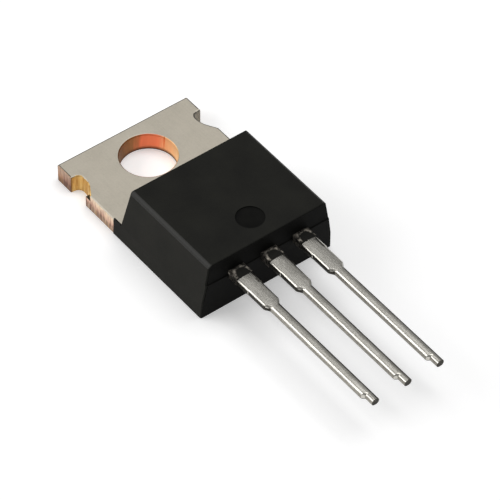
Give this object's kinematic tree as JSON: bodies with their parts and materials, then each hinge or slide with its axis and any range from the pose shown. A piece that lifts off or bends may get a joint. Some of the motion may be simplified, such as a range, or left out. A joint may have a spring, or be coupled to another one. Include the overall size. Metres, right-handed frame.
{
  "type": "power transistor",
  "caption": "Through-hole PNP power transistor: drilled copper mounting tab, drafted black moulded body and stepped tinned leads, with die and bond wires sealed inside.",
  "frame": {"origin": "where the axis of the mounting hole meets the back of the tab", "axes": "+Z out of the moulded front along the hole's axis, +Y towards the free edge of the tab, so the leads run to -Y, and +X to the right as seen from the front with the leads down"},
  "size_m": [0.0104, 0.0292, 0.0045],
  "materials": {
    "moulding_resin": "matt black filled epoxy, as moulded",
    "tinned_copper": "satin tin plating, bare copper on the sheared edges and in the hole",
    "silicon": "polished wafer",
    "solder": "dull solder",
    "bond_aluminium": "drawn wire"
  },
  "bodies": {
    "root": {"mould_body": "moulding_resin", "collector_frame": "tinned_copper", "base_lead": "tinned_copper", "emitter_lead": "tinned_copper", "die": "silicon", "die_attach_solder": "solder", "base_bond_wire": "bond_aluminium", "emitter_bond_wire": "bond_aluminium"}
  },
  "joints": []
}
